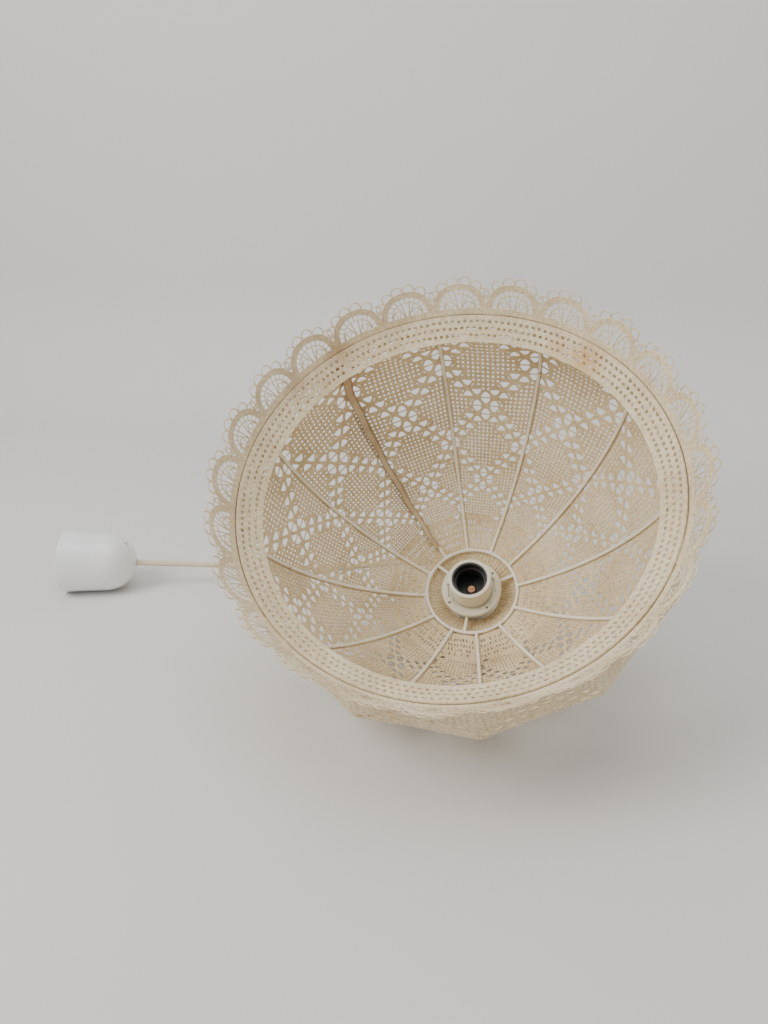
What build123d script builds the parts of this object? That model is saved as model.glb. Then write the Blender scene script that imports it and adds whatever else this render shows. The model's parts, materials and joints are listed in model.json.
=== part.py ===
"""Lace pendant lampshade with its lampholder, cord and ceiling cup, lying on a table.

The shade leans back on its lampholder with its mouth turned up and towards -Y.
Sizes are millimetres, +Z is up and the table is the plane z = 0.
Heights inside the shade run along its own axis, from the top ring towards the mouth.
"""
import os
from math import asin, atan2, cos, degrees, hypot, pi, radians, sin, sqrt, tan

from build123d import *

# ---- driving sizes: wire frame ----
rib_count = 12
wire_radius = 1.5
top_ring_radius = 44.0
elbow_radius = 177.0
elbow_height = 145.0
bow_radius = 206.0
rim_radius = 168.2
rim_height = 196.5
elbow_bend = 8.0
weld_bite = 0.3
spoke_count = 3

# ---- driving sizes: lace ----
lace_thickness = 1.0
lace_gap = 0.5
lace_edge_rise = 5.5
lace_edge_height = rim_height + lace_edge_rise
lace_start_share = 0.015
hem_width = 23.0
hem_slope = 45.0
hem_thickness = 1.4
trim_width = 30.0
trim_flare = 26.0
trim_thickness = 1.4
trim_side_gap = 0.4
trim_end_gap = 1.5
gather_length = 22.0
gather_slope = 28.0
seam_radius = 1.6
seam_side = 3.8
seam_rib_angle = 135.0
seam_low_share = 0.06
seam_high_share = 0.97

# ---- driving sizes: lampholder ----
skirt_radius = 20.0
skirt_wall = 3.0
skirt_mouth = 28.0
shoulder_radius = 23.5
shoulder_thickness = 3.0
thread_pitch = 2.2
thread_depth = 0.5
thread_turns = 8
cap_radius = 21.0
cap_length = 41.0
cap_round = 10.0
cap_wall = 2.5
grip_radius = 6.0
grip_length = 9.0
liner_clearance = 0.15
liner_set_back = 1.0
lamp_thread_radius = 13.3
liner_recess_radius = 15.4
liner_recess_depth = 7.0
contact_chamber_radius = 14.8
contact_chamber_depth = 10.0
base_height = -6.0
base_thickness = 5.0
centre_contact_radius = 4.0
centre_contact_height = 2.4
centre_contact_rounding = 0.6
contact_travel = 1.5
contact_clearance = 0.1
side_contact_width = 6.0
side_contact_thickness = 0.8
side_contact_length = 9.0
terminal_screw_radius = 2.0
terminal_screw_length = 7.0
terminal_screw_spacing = 16.0

# ---- driving sizes: shade ring and fitter ----
shade_ring_radius = 29.0
shade_ring_height = 5.0
shade_ring_web = 1.8
shade_ring_recess_radius = 23.0
shade_ring_notch_radius = 2.0
shade_ring_notch_inset = 1.0
shade_ring_notches = 12
shade_ring_holes = 4
shade_ring_rounding = 1.0
shade_ring_hole_radius = 1.3
shade_ring_hole_circle = 25.7
thread_clearance = 0.25
fitter_radius = 25.5
fitter_thickness = 1.5
spoke_weld = 1.0
stack_gap = 0.2

# ---- driving sizes: ceiling cup and cord ----
cup_rim_radius = 33.5
cup_length = 75.5
cup_wall = 2.2
cup_draft = 3.5
cup_hole_clearance = 0.8
cup_yaw = 20.3
cup_apex_x = -366.0
cup_apex_y = 96.5
grub_radius = 1.5
grub_height_below_apex = 10.0
grub_boss_wall = 2.0
grub_sink = 3.0
grub_slot = 0.6
block_width = 20.0
block_depth = 12.0
block_length = 16.0
block_rounding = 1.2
block_apex_distance = 47.0
block_screw_radius = 1.8
block_screw_sink = 0.8
block_screw_depth = 4.0
block_wire_radius = 1.4
cord_diameter = 6.0
cord_inside_grip = 4.0
arc_share = 0.45


def bow_centre():
    """Centre of the arc that each rib follows from the top ring to its elbow."""
    chord = hypot(elbow_radius - top_ring_radius, elbow_height)
    along = ((elbow_radius - top_ring_radius) / chord, elbow_height / chord)
    reach = sqrt(bow_radius**2 - (chord / 2) ** 2)
    middle = ((elbow_radius + top_ring_radius) / 2, elbow_height / 2)
    return middle[0] - along[1] * reach, middle[1] + along[0] * reach


bow_r, bow_z = bow_centre()
bow_start = atan2(-bow_z, top_ring_radius - bow_r)
half_panel = pi / rib_count
lace_inside = wire_radius + lace_gap
lace_outside = lace_inside + lace_thickness


def lean_height(angle, offset):
    """Lowest height of the ribs' lace, below the top ring's centre, at a lean angle."""
    narrow = cos(half_panel)
    run = sqrt(sin(angle) ** 2 + (narrow * cos(angle)) ** 2)
    return bow_z * sin(angle) - narrow * bow_r * cos(angle) - (bow_radius + offset) * run


def cap_height(angle):
    """Lowest height of the holder's rounded cap, below the top ring's centre."""
    level = cap_length - cap_round
    return -level * sin(angle) - (cap_radius - cap_round) * cos(angle) - cap_round


def lean_angle():
    """The lean at which the cap and the lace touch the table together."""
    low, high = radians(20), radians(85)
    for _ in range(60):
        middle = (low + high) / 2
        if lean_height(middle, lace_outside) > cap_height(middle):
            high = middle
        else:
            low = middle
    return low


lean = lean_angle()
ring_height = -cap_height(lean)
trim_start = (rim_radius + lace_outside + trim_side_gap, lace_edge_height + trim_end_gap)
flare = radians(trim_flare)
trim_edge = (
    trim_start[0] + trim_width * sin(flare) + trim_thickness * cos(flare),
    trim_start[1] + trim_width * cos(flare) - trim_thickness * sin(flare),
)
back_run = sqrt(cos(lean) ** 2 + (cos(half_panel) * sin(lean)) ** 2)
back_reach = (
    (bow_radius + lace_outside) * back_run
    - bow_z * cos(lean)
    + cos(half_panel) * bow_r * sin(lean)
)
front_reach = trim_edge[1] * cos(lean) + trim_edge[0] * sin(lean)
ring_y = (front_reach - back_reach) / 2

shade_centre = Vector(0, ring_y, ring_height)
shade_plane = Plane(origin=shade_centre, x_dir=(1, 0, 0), z_dir=(0, -cos(lean), sin(lean)))
shade_axis = Axis(shade_centre, shade_plane.z_dir)


def meridian(angle):
    """Plane through the shade's axis: its x is the radius, its y the height."""
    turn = radians(angle)
    radius = shade_plane.x_dir * cos(turn) + shade_plane.y_dir * sin(turn)
    return Plane(origin=shade_centre, x_dir=radius, z_dir=radius.cross(shade_plane.z_dir))


def bow_point(share, offset):
    """Point on a rib's bow, offset outwards, from the top ring (0) to the elbow (1)."""
    reach = bow_radius + offset
    bow_end = asin((elbow_height - bow_z) / reach)
    turn = bow_start + (bow_end - bow_start) * share
    return bow_r + reach * cos(turn), bow_z + reach * sin(turn)


def rib_angle(number):
    return (number - 0.5) * 360 / rib_count


def panel_angle(number):
    return number * 360 / rib_count


def save(piece, name):
    piece.part.label = name
    export_step(piece.part, f"parts/{name}.step")


os.makedirs("parts", exist_ok=True)

# ---- wire frame ----
with BuildPart() as top_ring:
    with BuildSketch(meridian(0)):
        with Locations((top_ring_radius, 0)):
            Circle(wire_radius)
    revolve(axis=shade_axis)
save(top_ring, "top_ring")

with BuildPart() as bottom_ring:
    with BuildSketch(meridian(0)):
        with Locations((rim_radius, rim_height)):
            Circle(wire_radius)
    revolve(axis=shade_axis)
save(bottom_ring, "bottom_ring")

bow_turn = asin((elbow_height - bow_z) / bow_radius) - bow_start
weld_share = weld_bite / (bow_radius * bow_turn)
for number in range(1, rib_count + 1):
    rib_plane = meridian(rib_angle(number))
    with BuildPart() as rib:
        with BuildLine(rib_plane) as rib_path:
            ThreePointArc(bow_point(weld_share, 0), bow_point(0.5, 0), bow_point(1, 0))
            Line(bow_point(1, 0), (rim_radius, rim_height - weld_bite))
            corner = rib_path.vertices().sort_by_distance(
                rib_plane.from_local_coords(bow_point(1, 0))
            )[0]
            fillet(corner, radius=elbow_bend)
        with BuildSketch(rib_path.line ^ 0):
            Circle(wire_radius)
        sweep()
        add(top_ring.part, mode=Mode.SUBTRACT)
        add(bottom_ring.part, mode=Mode.SUBTRACT)
    save(rib, f"rib_{number:02d}")

with BuildPart() as fitter_ring:
    with BuildSketch(shade_plane.offset(-fitter_thickness / 2)):
        Circle(fitter_radius)
        Circle(skirt_radius + thread_clearance, mode=Mode.SUBTRACT)
    extrude(amount=fitter_thickness)
save(fitter_ring, "fitter_ring")

spoke_drop = wire_radius - fitter_thickness / 2
for number in range(1, spoke_count + 1):
    spoke_plane = meridian(number * 360 / spoke_count - 90)
    with BuildPart() as spoke:
        with BuildLine(spoke_plane) as spoke_path:
            Line((fitter_radius - spoke_weld, -spoke_drop), (top_ring_radius, -spoke_drop))
        with BuildSketch(spoke_path.line ^ 0):
            Circle(wire_radius)
        sweep()
        add(top_ring.part, mode=Mode.SUBTRACT)
        add(fitter_ring.part, mode=Mode.SUBTRACT)
    save(spoke, f"spoke_{number}")

# ---- lace cover: a flat gore between each two ribs, rounded out to the bottom ring ----
narrow = cos(half_panel)
panel_half_width = (elbow_radius + lace_outside) * tan(half_panel)
gore_shares = (lace_start_share, 0.5, 1)


def gore_point(share, offset):
    """A rib's offset bow, seen at the middle of a flat gore."""
    radius, height = bow_point(share, offset)
    return radius * narrow, height


def elbow_section(plane):
    """Flat band of lace across a gore at the elbow."""
    inner = bow_point(1, lace_inside)[0]
    outer = bow_point(1, lace_outside)[0]
    with BuildSketch(plane) as section:
        with BuildLine():
            Polyline(
                (inner * narrow, -inner * sin(half_panel)),
                (outer * narrow, -outer * sin(half_panel)),
                (outer * narrow, outer * sin(half_panel)),
                (inner * narrow, inner * sin(half_panel)),
                close=True,
            )
        make_face()
    return section.sketch.face()


def rim_section(plane):
    """Round band of lace across a gore at the bottom ring."""
    inner = rim_radius + lace_inside
    outer = rim_radius + lace_outside
    with BuildSketch(plane) as section:
        with BuildLine():
            inner_start = PolarLine((0, 0), inner, -degrees(half_panel), mode=Mode.PRIVATE) @ 1
            inner_end = PolarLine((0, 0), inner, degrees(half_panel), mode=Mode.PRIVATE) @ 1
            outer_start = PolarLine((0, 0), outer, -degrees(half_panel), mode=Mode.PRIVATE) @ 1
            outer_end = PolarLine((0, 0), outer, degrees(half_panel), mode=Mode.PRIVATE) @ 1
            ThreePointArc(inner_start, (inner, 0), inner_end)
            Line(inner_end, outer_end)
            ThreePointArc(outer_end, (outer, 0), outer_start)
            Line(outer_start, inner_start)
        make_face()
    return section.sketch.face()


for number in range(1, rib_count + 1):
    gore_plane = meridian(panel_angle(number))
    flat_plane = Plane(
        origin=shade_centre, x_dir=gore_plane.x_dir, z_dir=shade_plane.z_dir
    )
    with BuildPart() as gore:
        with BuildSketch(gore_plane):
            with BuildLine():
                inner_bow = ThreePointArc(*(gore_point(s, lace_inside) for s in gore_shares))
                outer_bow = ThreePointArc(*(gore_point(s, lace_outside) for s in gore_shares))
                Line(inner_bow @ 0, outer_bow @ 0)
                Line(inner_bow @ 1, outer_bow @ 1)
            make_face()
        extrude(amount=panel_half_width, both=True)
        with BuildSketch(flat_plane.offset(-cap_length)):
            Polygon(
                (0, 0),
                (2 * elbow_radius, -2 * elbow_radius * tan(half_panel)),
                (2 * elbow_radius, 2 * elbow_radius * tan(half_panel)),
                align=None,
            )
        extrude(amount=cap_length + lace_edge_height, mode=Mode.INTERSECT)
        loft(
            [
                elbow_section(flat_plane.offset(elbow_height)),
                rim_section(flat_plane.offset(lace_edge_height)),
            ],
            ruled=True,
        )
    save(gore, f"lace_panel_{number:02d}")

# ---- lace edges ----
def strip_profile(start, slope, width, thickness):
    """Section of a cone of lace, from its inner corner, sloped from the shade's axis."""
    turn = radians(slope)
    along = Vector(sin(turn), cos(turn)) * width
    across = Vector(cos(turn), -sin(turn)) * thickness
    corner = Vector(*start)
    with BuildSketch(meridian(0)) as strip:
        with BuildLine():
            Polyline(corner, corner + along, corner + along + across, corner + across, close=True)
        make_face()
    return strip.sketch


hem_turn = radians(hem_slope)
hem_edge_radius = rim_radius + lace_inside - lace_gap - hem_thickness * cos(hem_turn)
with BuildPart() as hem_band:
    hem_start = (
        hem_edge_radius - hem_width * sin(hem_turn),
        lace_edge_height - hem_width * cos(hem_turn),
    )
    revolve(strip_profile(hem_start, hem_slope, hem_width, hem_thickness), axis=shade_axis)
save(hem_band, "hem_band")

with BuildPart() as lace_trim:
    revolve(strip_profile(trim_start, trim_flare, trim_width, trim_thickness), axis=shade_axis)
save(lace_trim, "lace_trim")

gather_turn = radians(90 - gather_slope)
with BuildPart() as neck_gather:
    gather_start = (
        top_ring_radius + wire_radius - gather_length * sin(gather_turn),
        -lace_outside - gather_length * cos(gather_turn),
    )
    revolve(
        strip_profile(gather_start, 90 - gather_slope, gather_length, lace_thickness),
        axis=shade_axis,
    )
save(neck_gather, "neck_gather")

seam_plane = meridian(seam_rib_angle).offset(seam_side)
seam_shares = (seam_low_share, 0.5, seam_high_share)
with BuildPart() as seam_strip:
    with BuildLine(seam_plane) as seam_path:
        ThreePointArc(*(bow_point(share, -wire_radius) for share in seam_shares))
    with BuildSketch(seam_path.line ^ 0):
        Circle(seam_radius)
    sweep()
save(seam_strip, "seam_strip")

# ---- lampholder ----
shoulder_top = -fitter_thickness / 2 - stack_gap
cap_top = shoulder_top - shoulder_thickness
liner_radius = skirt_radius - skirt_wall - liner_clearance
liner_top = skirt_mouth - liner_set_back
base_top = base_height + base_thickness

with BuildPart() as holder_skirt:
    with BuildSketch(meridian(0)):
        with Locations((0, cap_top)):
            Rectangle(shoulder_radius, shoulder_thickness, align=Align.MIN)
        with Locations((0, shoulder_top)):
            Rectangle(skirt_radius, skirt_mouth - shoulder_top, align=Align.MIN)
        with Locations((0, cap_top)):
            Rectangle(skirt_radius - skirt_wall, cap_length, align=Align.MIN, mode=Mode.SUBTRACT)
        for turn in range(thread_turns):
            with Locations((skirt_radius, skirt_mouth - thread_pitch * (turn + 1))):
                Circle(thread_depth, mode=Mode.SUBTRACT)
    revolve(axis=shade_axis)
save(holder_skirt, "holder_skirt")


def round_ended(plane, radius, low, high, rounding):
    """Half section of a round bar along a plane's y, with its low end rounded."""
    with BuildSketch(plane) as bar:
        with Locations((0, low)):
            Rectangle(radius, high - low, align=Align.MIN)
        fillet(bar.vertices().sort_by(Axis.Y)[:2].sort_by(Axis.X)[-1], radius=rounding)
    return bar.sketch


half_plane = meridian(0)
with BuildPart() as holder_cap:
    revolve(round_ended(half_plane, cap_radius, -cap_length, cap_top, cap_round), axis=shade_axis)
    revolve(
        round_ended(
            half_plane, cap_radius - cap_wall, cap_wall - cap_length, cap_top, cap_round - cap_wall
        ),
        axis=shade_axis,
        mode=Mode.SUBTRACT,
    )
    with BuildSketch(shade_plane.offset(-cap_length)):
        Circle(grip_radius)
    extrude(amount=cap_wall, mode=Mode.SUBTRACT)
save(holder_cap, "holder_cap")

with BuildPart() as cord_grip:
    with BuildSketch(shade_plane.offset(-cap_length)):
        Circle(grip_radius)
    extrude(amount=grip_length)
    with BuildSketch(shade_plane.offset(-cap_length + cap_wall)):
        Circle(grip_radius + cap_wall)
    extrude(amount=grip_length - cap_wall)
    with BuildSketch(shade_plane.offset(-cap_length)):
        Circle(cord_diameter / 2)
    extrude(amount=cord_inside_grip, mode=Mode.SUBTRACT)
save(cord_grip, "cord_grip")

with BuildPart() as lamp_liner:
    with BuildSketch(half_plane):
        with Locations((0, base_top)):
            Rectangle(liner_radius, liner_top - base_top, align=Align.MIN)
        with Locations((0, base_top)):
            Rectangle(lamp_thread_radius, liner_top - base_top, align=Align.MIN, mode=Mode.SUBTRACT)
        with Locations((0, liner_top - liner_recess_depth)):
            Rectangle(
                liner_recess_radius, liner_recess_depth, align=Align.MIN, mode=Mode.SUBTRACT
            )
        with Locations((0, base_top)):
            Rectangle(
                contact_chamber_radius, contact_chamber_depth, align=Align.MIN, mode=Mode.SUBTRACT
            )
    revolve(axis=shade_axis)
save(lamp_liner, "lamp_liner")

with BuildPart() as contact_base:
    with BuildSketch(shade_plane.offset(base_height)):
        Circle(liner_radius)
        Circle(centre_contact_radius / 2 + contact_clearance, mode=Mode.SUBTRACT)
    extrude(amount=base_thickness)
save(contact_base, "contact_base")

with BuildPart() as centre_contact:
    with BuildSketch(shade_plane.offset(base_top + contact_travel + contact_clearance)):
        Circle(centre_contact_radius)
    extrude(amount=centre_contact_height)
    fillet(centre_contact.edges().sort_by(shade_axis)[-1], radius=centre_contact_rounding)
    with BuildSketch(shade_plane.offset(base_height + contact_travel)):
        Circle(centre_contact_radius / 2)
    extrude(amount=base_thickness + contact_clearance)
save(centre_contact, "centre_contact")

with BuildPart() as side_contact:
    with BuildSketch(shade_plane.offset(base_top)):
        with Locations((lamp_thread_radius - 2 * side_contact_thickness, 0)):
            Rectangle(side_contact_thickness, side_contact_width)
    extrude(amount=side_contact_length)
save(side_contact, "side_contact")

with BuildPart() as terminal_screws:
    with BuildSketch(shade_plane.offset(base_height)):
        with GridLocations(terminal_screw_spacing, 0, 2, 1):
            Circle(terminal_screw_radius)
    extrude(amount=-terminal_screw_length)
save(terminal_screws, "terminal_screws")

# ---- shade ring: screws along the skirt and holds the fitter against its shoulder ----
shade_ring_low = fitter_thickness / 2 + stack_gap
ring_plane = shade_plane.offset(shade_ring_low)
with BuildPart() as shade_ring:
    with BuildSketch(ring_plane):
        Circle(shade_ring_radius)
    extrude(amount=shade_ring_height)
    fillet(shade_ring.edges().filter_by(GeomType.CIRCLE), radius=shade_ring_rounding)
    with BuildSketch(ring_plane):
        Circle(skirt_radius + thread_clearance)
        with PolarLocations(shade_ring_hole_circle, shade_ring_holes, start_angle=180 / shade_ring_holes):
            Circle(shade_ring_hole_radius)
    extrude(amount=shade_ring_height, mode=Mode.SUBTRACT)
    with BuildSketch(ring_plane.offset(shade_ring_web)):
        Circle(shade_ring_recess_radius)
        with PolarLocations(shade_ring_recess_radius - shade_ring_notch_inset, shade_ring_notches):
            Circle(shade_ring_notch_radius)
    extrude(amount=shade_ring_height, mode=Mode.SUBTRACT)
save(shade_ring, "shade_ring")

# ---- ceiling cup, lying on its tapered side ----
draft = radians(cup_draft)
yaw = radians(cup_yaw)
cup_direction = Vector(cos(yaw) * cos(draft), sin(yaw) * cos(draft), -sin(draft))
cup_apex = Vector(cup_apex_x, cup_apex_y, cup_rim_radius * cos(draft) - cup_length * sin(draft))
cup_rim_centre = cup_apex - cup_direction * cup_length
cup_axis = Axis(cup_rim_centre, cup_direction)
cup_side = Vector(-sin(yaw), cos(yaw), 0)
cup_plane = Plane(origin=cup_rim_centre, x_dir=cup_side, z_dir=cup_direction)
cup_half_plane = Plane(
    origin=cup_rim_centre, x_dir=cup_side, z_dir=cup_side.cross(cup_direction)
)
dome_radius = (cup_rim_radius * cos(draft) - cup_length * sin(draft)) / (1 - sin(draft))
hole_radius = cord_diameter / 2 + cup_hole_clearance
grub_height = cup_length - grub_height_below_apex


def cup_outline(inset):
    """Half section of the cup: tapered side and domed end, inset by the wall."""
    dome = dome_radius - inset
    dome_centre = cup_length - dome_radius
    tangent_point = (dome * cos(draft), dome_centre + dome * sin(draft))
    dome_top = (0, dome_centre + dome)
    with BuildSketch(cup_half_plane) as outline:
        with BuildLine():
            Polyline(dome_top, (0, 0), (cup_rim_radius - inset / cos(draft), 0), tangent_point)
            RadiusArc(tangent_point, dome_top, -dome)
        make_face()
    return outline.sketch


grub_outer = sqrt(dome_radius**2 - (dome_radius - grub_height_below_apex) ** 2)
grub_plane = Plane(
    origin=cup_rim_centre + cup_direction * grub_height, x_dir=cup_side, z_dir=cup_plane.y_dir
)
with BuildPart() as ceiling_cup:
    revolve(cup_outline(0), axis=cup_axis)
    revolve(cup_outline(cup_wall), axis=cup_axis, mode=Mode.SUBTRACT)
    with BuildSketch(cup_plane.offset(cup_length - dome_radius)):
        Circle(hole_radius + grub_boss_wall)
    extrude(amount=dome_radius - cup_wall)
    with BuildSketch(grub_plane):
        Circle(grub_radius + grub_boss_wall)
    extrude(amount=grub_outer)
    revolve(cup_outline(0), axis=cup_axis, mode=Mode.INTERSECT)
    with BuildSketch(cup_plane):
        Circle(hole_radius)
    extrude(amount=cup_length, mode=Mode.SUBTRACT)
    with BuildSketch(grub_plane):
        Circle(grub_radius + contact_clearance)
    extrude(amount=cup_rim_radius, mode=Mode.SUBTRACT)
save(ceiling_cup, "ceiling_cup")

grub_low = cord_diameter / 2 + contact_clearance
with BuildPart() as cup_grub_screw:
    with BuildSketch(grub_plane.offset(grub_low)):
        Circle(grub_radius)
    extrude(amount=grub_outer - grub_sink - grub_low)
    with BuildSketch(grub_plane.offset(grub_outer - grub_sink)):
        Rectangle(2 * grub_radius, grub_slot)
    extrude(amount=-grub_slot, mode=Mode.SUBTRACT)
save(cup_grub_screw, "cup_grub_screw")

block_plane = cup_plane.offset(cup_length - block_apex_distance)
screw_plane = Plane(
    origin=block_plane.origin - cup_direction * block_length / 2 + cup_plane.y_dir * block_depth / 2,
    x_dir=cup_side,
    z_dir=cup_plane.y_dir,
)
with BuildPart() as terminal_block:
    with BuildSketch(block_plane):
        Rectangle(block_width, block_depth)
    extrude(amount=-block_length)
    fillet(terminal_block.edges().filter_by(cup_axis), radius=block_rounding)
    with BuildSketch(block_plane):
        with GridLocations(block_width / 2, 0, 2, 1):
            Circle(block_wire_radius)
    extrude(amount=-block_length, mode=Mode.SUBTRACT)
    with BuildSketch(screw_plane):
        with GridLocations(block_width / 2, 0, 2, 1):
            Circle(block_screw_radius)
    extrude(amount=-block_screw_depth, mode=Mode.SUBTRACT)
save(terminal_block, "terminal_block")

with BuildPart() as block_screws:
    with BuildSketch(screw_plane.offset(-block_screw_depth)):
        with GridLocations(block_width / 2, 0, 2, 1):
            Circle(block_screw_radius - contact_clearance)
    extrude(amount=block_screw_depth - block_screw_sink)
save(block_screws, "block_screws")

# ---- cord: out of the grip, round behind the shade and straight into the cup ----
cord_radius = cord_diameter / 2
grip_end = shade_centre - shade_plane.z_dir * (cap_length - cord_inside_grip)
touch_down = shade_centre - shade_plane.z_dir * (ring_height - cord_radius) / sin(lean)
cord_middle = [
    (2, 157, cord_radius),
    (14, 184, cord_radius),
    (38, 212, cord_radius),
    (40, 250, cord_radius),
    (4, 271, cord_radius),
    (-43, 263, cord_radius),
    (-92, 237, cord_radius),
    (-139, 214, cord_radius),
    (-187, 184, 5.5),
    (-238, 154, 15),
    (-291, 125, 23),
]
block_face = cup_apex - cup_direction * block_apex_distance
cord_route = [grip_end, touch_down, *(Vector(*p) for p in cord_middle), cup_apex, block_face]
cord_runs = [(b - a).length for a, b in zip(cord_route, cord_route[1:])]
cord_turns = [
    (b - a).get_angle(c - b) for a, b, c in zip(cord_route, cord_route[1:], cord_route[2:])
]
cord_radii = [
    arc_share * min(before, after) / tan(radians(turn) / 2)
    for before, after, turn in zip(cord_runs, cord_runs[1:], cord_turns)
]
with BuildPart() as cord:
    with BuildLine() as cord_line:
        FilletPolyline(*cord_route, radius=cord_radii)
    with BuildSketch(cord_line.line ^ 0):
        Circle(cord_radius)
    sweep()
save(cord, "cord")

cord_length = cord_line.wires()[0].length
print("lean", round(degrees(lean), 2), "ring height", round(ring_height, 2), "ring y", round(ring_y, 2))
print("cord runs", [round(run, 1) for run in cord_runs])
print("cord turns", [round(turn, 1) for turn in cord_turns])
print("cord radii", [round(radius, 1) for radius in cord_radii])
print("cord length", round(cord_length, 1))
print("cord volume over section times length", cord.part.volume / (pi * cord_radius**2 * cord_length))
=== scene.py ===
import json
import math
import random

import bmesh
import bpy
import numpy as np
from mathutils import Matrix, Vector
from mathutils.geometry import delaunay_2d_cdt


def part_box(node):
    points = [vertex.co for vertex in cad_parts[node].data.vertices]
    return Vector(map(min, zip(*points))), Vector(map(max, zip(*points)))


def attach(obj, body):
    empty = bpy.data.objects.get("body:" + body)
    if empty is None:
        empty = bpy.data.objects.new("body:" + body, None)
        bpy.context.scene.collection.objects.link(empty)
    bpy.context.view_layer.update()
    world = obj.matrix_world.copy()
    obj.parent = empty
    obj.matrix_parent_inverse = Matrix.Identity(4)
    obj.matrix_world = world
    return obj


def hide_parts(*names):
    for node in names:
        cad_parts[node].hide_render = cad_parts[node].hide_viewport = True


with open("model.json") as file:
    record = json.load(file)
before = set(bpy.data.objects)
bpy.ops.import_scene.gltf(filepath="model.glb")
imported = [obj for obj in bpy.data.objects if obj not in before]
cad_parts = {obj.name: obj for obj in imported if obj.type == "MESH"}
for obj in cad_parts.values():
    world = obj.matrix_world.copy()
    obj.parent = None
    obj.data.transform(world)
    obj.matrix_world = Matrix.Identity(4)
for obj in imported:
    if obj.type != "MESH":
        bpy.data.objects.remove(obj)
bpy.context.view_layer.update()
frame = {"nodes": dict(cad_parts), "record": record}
mm = 0.001
print("frame loaded")


# the camera and the cord come first
view = {
    "position": (0.1059, -0.5560, 0.3949),
    "looks": (-0.2603, 0.8899, -0.3746),
    "lens": 27.07,
    "sensor": 36.0,
}


def setCamera():
    data = bpy.data.cameras.new("Camera")
    data.lens = view["lens"]
    data.sensor_width = view["sensor"]
    data.clip_start = 0.01
    camera = bpy.data.objects.new("Camera", data)
    bpy.context.scene.collection.objects.link(camera)
    camera.location = view["position"]
    camera.rotation_euler = Vector(view["looks"]).to_track_quat("-Z", "Y").to_euler()
    bpy.context.scene.camera = camera


setCamera()

# the shade's own frame: its centre, its axis towards the mouth, and the way up its slope
ringLow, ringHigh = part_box("top_ring")
shadeCentre = (ringLow + ringHigh) / 2
lampThread = next(m for m in frame["record"]["mounts"] if m["name"] == "lamp_thread")
shadeAxis = Vector(lampThread["axis"]).normalized()
sideways = Vector((1, 0, 0))
upSlope = shadeAxis.cross(sideways)

cordSizes = {
    "diameter": 6.0,
    "length": 0.6248,
    "capLength": 41.0,
    "capInside": 4.0,
    # where the cord lies after it leaves the holder, up to the ceiling cup's hole and block
    "route": [
        (0.0, 0.1431, 0.003),
        (0.002, 0.157, 0.003),
        (0.014, 0.184, 0.003),
        (0.038, 0.212, 0.003),
        (0.040, 0.250, 0.003),
        (0.004, 0.271, 0.003),
        (-0.043, 0.263, 0.003),
        (-0.092, 0.237, 0.003),
        (-0.139, 0.214, 0.003),
        (-0.187, 0.184, 0.0055),
        (-0.238, 0.154, 0.015),
        (-0.291, 0.125, 0.023),
        (-0.366, 0.0965, 0.02883),
        (-0.410, 0.08022, 0.0317),
    ],
}


def layCord(sizes):
    start = shadeCentre - shadeAxis * (sizes["capLength"] - sizes["capInside"]) * mm
    points = [start] + [Vector(p) for p in sizes["route"]]
    curve = bpy.data.curves.new("cord_line", "CURVE")
    curve.dimensions = "3D"
    curve.bevel_depth = 1.0
    curve.bevel_resolution = 5
    curve.resolution_u = 10
    curve.use_fill_caps = True
    spline = curve.splines.new("NURBS")
    spline.points.add(len(points) - 1)
    for place, point in zip(spline.points, points):
        place.co = (*point, 1)
        place.radius = sizes["diameter"] / 2 * mm
    spline.order_u = 3
    spline.use_endpoint_u = True
    flex = bpy.data.objects.new("cord_sheath", curve)
    bpy.context.scene.collection.objects.link(flex)
    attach(flex, "lampholder")
    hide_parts("cord")
    return flex


cordSheath = layCord(cordSizes)
print("camera and cord in place")


# helpers for the finishes
def newMaterial(name, roughness, metallic=0.0, sheen=0.0, coat=0.0, coatRoughness=0.1):
    material = bpy.data.materials.new(name)
    material.use_nodes = True
    shader = material.node_tree.nodes["Principled BSDF"]
    shader.inputs["Roughness"].default_value = roughness
    shader.inputs["Metallic"].default_value = metallic
    shader.inputs["Sheen Weight"].default_value = sheen
    shader.inputs["Coat Weight"].default_value = coat
    shader.inputs["Coat Roughness"].default_value = coatRoughness
    return material, material.node_tree, shader


def addNode(tree, kind, **settings):
    node = tree.nodes.new(kind)
    for key, value in settings.items():
        if hasattr(node, key):
            setattr(node, key, value)
        else:
            node.inputs[key].default_value = value
    return node


def noiseOf(tree, scale, detail=3.0, stretch=None):
    place = tree.nodes.new("ShaderNodeTexCoord")
    noise = addNode(tree, "ShaderNodeTexNoise", Scale=scale, Detail=detail)
    if stretch:
        mapping = addNode(tree, "ShaderNodeMapping", Scale=stretch)
        tree.links.new(place.outputs["Object"], mapping.inputs["Vector"])
        tree.links.new(mapping.outputs["Vector"], noise.inputs["Vector"])
    else:
        tree.links.new(place.outputs["Object"], noise.inputs["Vector"])
    return noise.outputs["Fac"]


def rampOf(tree, value, stops):
    ramp = tree.nodes.new("ShaderNodeValToRGB")
    while len(ramp.color_ramp.elements) < len(stops):
        ramp.color_ramp.elements.new(0.5)
    for element, (place, colour) in zip(ramp.color_ramp.elements, stops):
        element.position = place
        element.color = (*colour, 1) if len(colour) == 3 else colour
    tree.links.new(value, ramp.inputs["Fac"])
    return ramp.outputs["Color"]


def mixOf(tree, share, first, second, blend="MIX"):
    mix = addNode(tree, "ShaderNodeMix", data_type="RGBA", blend_type=blend)
    for socket, value in ((mix.inputs["Factor"], share), (mix.inputs["A"], first), (mix.inputs["B"], second)):
        if hasattr(value, "links"):
            tree.links.new(value, socket)
        elif isinstance(value, float):
            socket.default_value = value
        else:
            socket.default_value = (*value, 1)
    return mix.outputs["Result"]


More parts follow.
